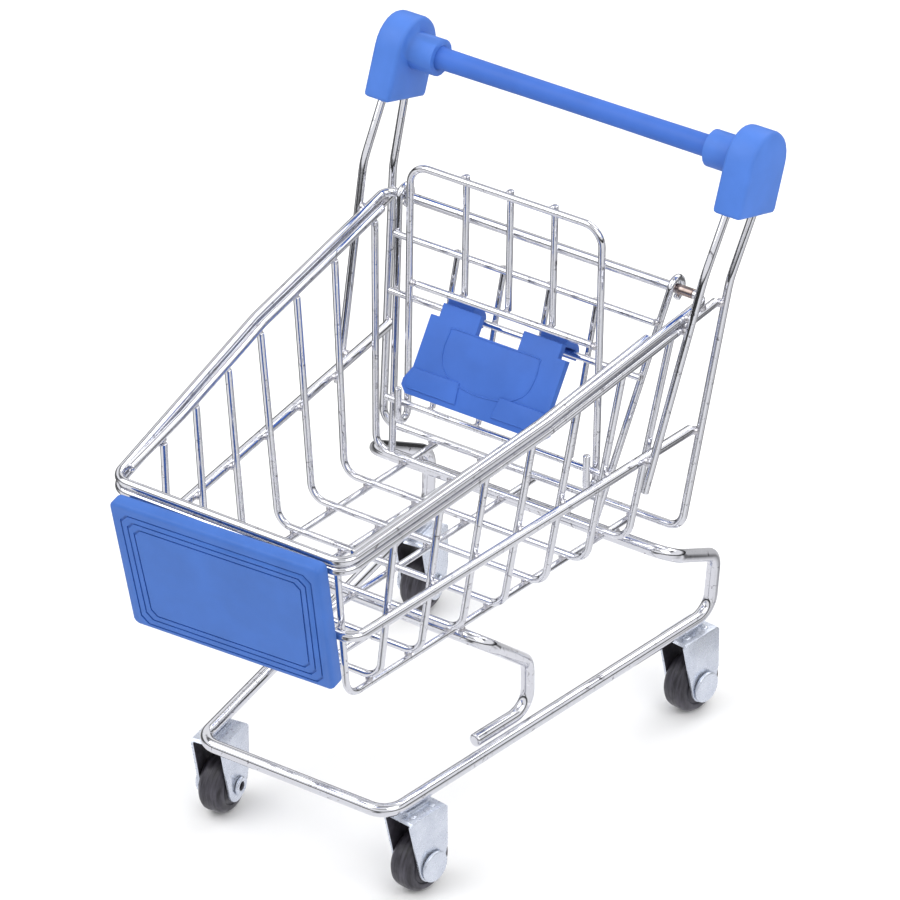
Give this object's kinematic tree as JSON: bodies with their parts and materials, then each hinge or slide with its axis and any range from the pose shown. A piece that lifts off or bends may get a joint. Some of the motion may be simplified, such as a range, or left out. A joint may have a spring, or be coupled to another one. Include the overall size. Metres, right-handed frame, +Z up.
{
  "type": "rolling basket trolley",
  "caption": "Desk-size wire shopping trolley with a tapering basket, hinged rear gate carrying a folding child seat, plastic handle, panel and rolling castors.",
  "frame": {"origin": "on the floor, midway between the sides and midway between the front panel and the handle's rear", "axes": "+Z up, +X the trolley's right as its user pushes it forward along -Y"},
  "size_m": [0.0955, 0.1384, 0.1433],
  "materials": {
    "wheel": "satin near-black moulding",
    "bracket": "bright zinc plated sheet, lightly brushed",
    "axle": "bright plated rivet",
    "panel": "satin moulded blue plastic with engraved lines",
    "seat": "satin moulded blue plastic",
    "handle": "satin moulded blue plastic",
    "chassis": "bright chrome plate",
    "wire": "bright chrome plate"
  },
  "bodies": {
    "frame": {"castor_front_left_axle": "axle", "castor_front_left_bracket": "bracket", "castor_front_right_axle": "axle", "castor_front_right_bracket": "bracket", "castor_rear_left_axle": "axle", "castor_rear_left_bracket": "bracket", "castor_rear_right_axle": "axle", "castor_rear_right_bracket": "bracket", "chassis_frame": "chassis", "floor_wire_1": "wire", "floor_wire_2": "wire", "floor_wire_3": "wire", "floor_wire_4": "wire", "floor_wire_5": "wire", "front_panel": "panel", "front_post_left": "wire", "front_post_right": "wire", "front_support": "chassis", "handle_bar": "handle", "handle_cap_left": "handle", "handle_cap_right": "handle", "hinge_rod": "wire", "mid_wire": "wire", "rear_loop": "wire", "rib_1": "wire", "rib_2": "wire", "rib_3": "wire", "rib_4": "wire", "rib_5": "wire", "rib_6": "wire", "rib_7": "wire", "rim_inner_left": "wire", "rim_inner_right": "wire", "rim_lower": "wire", "rim_upper": "wire"},
    "gate": {"gate_side_left": "wire", "gate_side_right": "wire", "gate_bar_upper": "wire", "gate_bar_middle": "wire", "gate_bar_lower": "wire", "gate_upright_1": "wire", "gate_upright_2": "wire", "gate_upright_3": "wire", "gate_upright_4": "wire"},
    "backrest": {"backrest_frame": "wire", "backrest_bar": "wire", "backrest_slat_1": "wire", "backrest_slat_2": "wire", "backrest_slat_3": "wire"},
    "seat": {"seat_plate": "seat"},
    "wheel_front_left": {"castor_front_left_wheel": "wheel"},
    "wheel_front_right": {"castor_front_right_wheel": "wheel"},
    "wheel_rear_left": {"castor_rear_left_wheel": "wheel"},
    "wheel_rear_right": {"castor_rear_right_wheel": "wheel"}
  },
  "joints": [
    {"name": "gate_swing", "type": "hinge", "parent": "frame", "child": "gate", "pos_m": [0, 0.0497, 0.1073], "axis": [-1, 0, 0], "range_deg": [0, 75]},
    {"name": "backrest_fold", "type": "hinge", "parent": "gate", "child": "backrest", "pos_m": [0, 0.03372, 0.0669], "axis": [1, 0, 0], "range_deg": [0, 70]},
    {"name": "seat_flap", "type": "hinge", "parent": "gate", "child": "seat", "pos_m": [0, 0.04016, 0.0892], "axis": [-1, 0, 0], "range_deg": [0, 42]},
    {"name": "wheel_spin_front_left", "type": "hinge", "parent": "frame", "child": "wheel_front_left", "pos_m": [-0.0254, -0.0336, 0.0068], "axis": [0.9923, 0.1239, 0], "continuous": true},
    {"name": "wheel_spin_front_right", "type": "hinge", "parent": "frame", "child": "wheel_front_right", "pos_m": [0.0254, -0.0336, 0.0068], "axis": [0.9923, -0.1239, 0], "continuous": true},
    {"name": "wheel_spin_rear_left", "type": "hinge", "parent": "frame", "child": "wheel_rear_left", "pos_m": [-0.0354, 0.0551, 0.0068], "axis": [0.9923, 0.1239, 0], "continuous": true},
    {"name": "wheel_spin_rear_right", "type": "hinge", "parent": "frame", "child": "wheel_rear_right", "pos_m": [0.0354, 0.0551, 0.0068], "axis": [0.9923, -0.1239, 0], "continuous": true}
  ]
}
